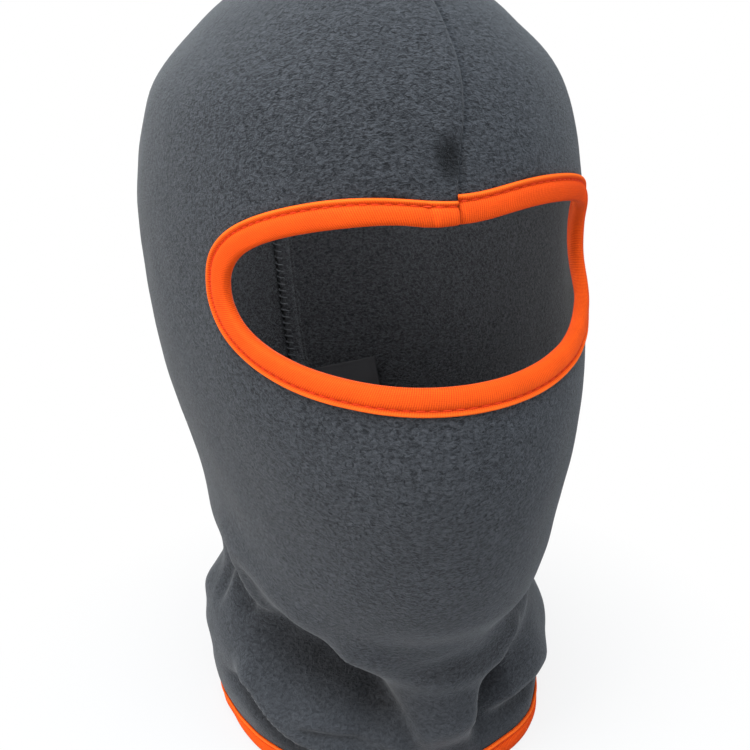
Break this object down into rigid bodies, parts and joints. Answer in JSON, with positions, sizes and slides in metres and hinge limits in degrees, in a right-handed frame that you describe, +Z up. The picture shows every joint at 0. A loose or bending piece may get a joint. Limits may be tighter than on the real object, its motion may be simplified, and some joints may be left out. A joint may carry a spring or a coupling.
{
  "type": "fleece balaclava",
  "caption": "Close-fitting fleece hood that covers head and neck, with one bound eye opening and a bound neck edge, in its worn shape.",
  "frame": {"origin": "centre of the neck opening, in the plane that the hem stands on", "axes": "+Z up from the hem to the crown, -Y the way the face looks, +X the wearer's left"},
  "size_m": [0.1637, 0.2078, 0.3006],
  "materials": {
    "fleece": "matte brushed pile",
    "binding": "matte ribbed knit",
    "binding_thread": "satin polyester thread",
    "seam_thread": "textured overlock thread",
    "label": "satin woven ribbon"
  },
  "bodies": {
    "neck": {"fleece_neck": "fleece", "hem_binding": "binding", "hem_binding_thread": "binding_thread", "seam_thread_neck": "seam_thread", "hem_tack": "binding_thread"},
    "hood": {"fleece_hood": "fleece", "eye_binding": "binding", "eye_binding_thread": "binding_thread", "seam_thread_hood": "seam_thread", "forehead_tack": "binding_thread"},
    "label": {"care_label": "label"}
  },
  "joints": [
    {"name": "neck_nod", "type": "hinge", "parent": "neck", "child": "hood", "pos_m": [0, -0.001, 0.057], "axis": [1, 0, 0], "range_deg": [-15, 15], "stiffness_Nm_per_rad": 1.5},
    {"name": "label_swing", "type": "hinge", "parent": "hood", "child": "label", "pos_m": [0, 0.0708, 0.10603], "axis": [0, 0.4326, 0.9016], "range_deg": [-140, 0]}
  ]
}
